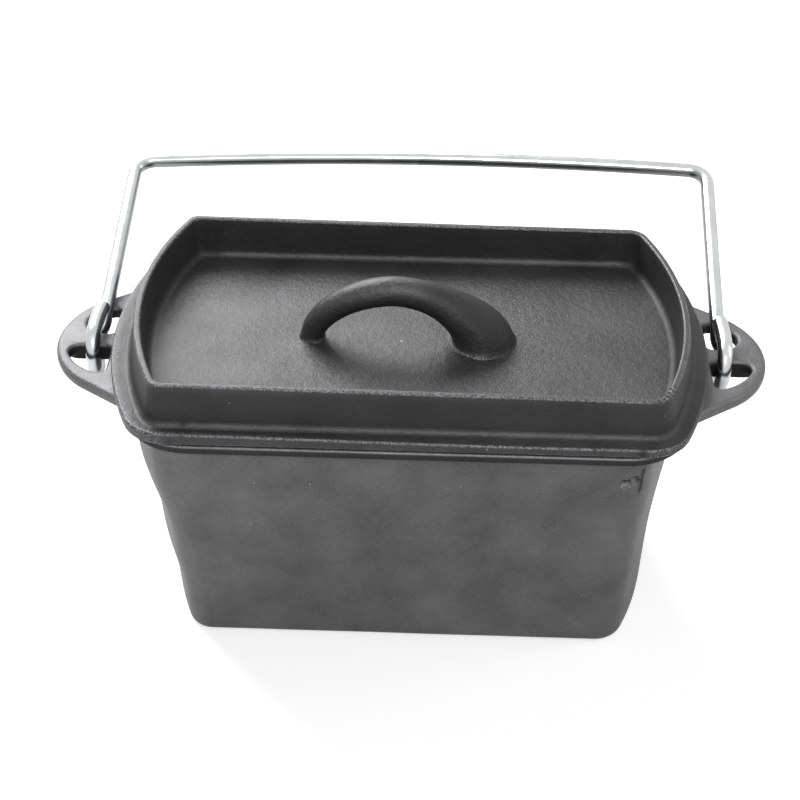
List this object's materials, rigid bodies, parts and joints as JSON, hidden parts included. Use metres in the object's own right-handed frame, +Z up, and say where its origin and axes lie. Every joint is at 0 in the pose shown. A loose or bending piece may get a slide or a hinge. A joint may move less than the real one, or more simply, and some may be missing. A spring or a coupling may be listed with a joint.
{
  "type": "cast iron bread pot",
  "caption": "Oblong cast iron bread pot with a lift-off tray lid, a cast arched lid handle, pierced end lugs and a swinging steel wire bail.",
  "frame": {"origin": "middle of the pot's flat base, on the surface that it stands on", "axes": "+Z up, +X along the pot towards the thick foot of the lid handle, +Y to the side that the bail lies back on"},
  "size_m": [0.332, 0.2121, 0.1593],
  "materials": {
    "pot_iron": "sand cast, seasoned, satin dark grey",
    "lid_iron": "sand cast, seasoned, satin near black",
    "bail_wire": "bright drawn wire"
  },
  "bodies": {
    "pot": {"pot": "pot_iron"},
    "lid": {"lid": "lid_iron"},
    "bail": {"bail": "bail_wire"}
  },
  "joints": [
    {"name": "lid_lift", "type": "slide", "parent": "pot", "child": "lid", "axis": [0, 0, 1], "range_m": [0, 0.15]},
    {"name": "bail_swing", "type": "hinge", "parent": "pot", "child": "bail", "pos_m": [0, 0.0013, 0.115], "axis": [1, 0, 0], "range_deg": [0, 142]}
  ]
}
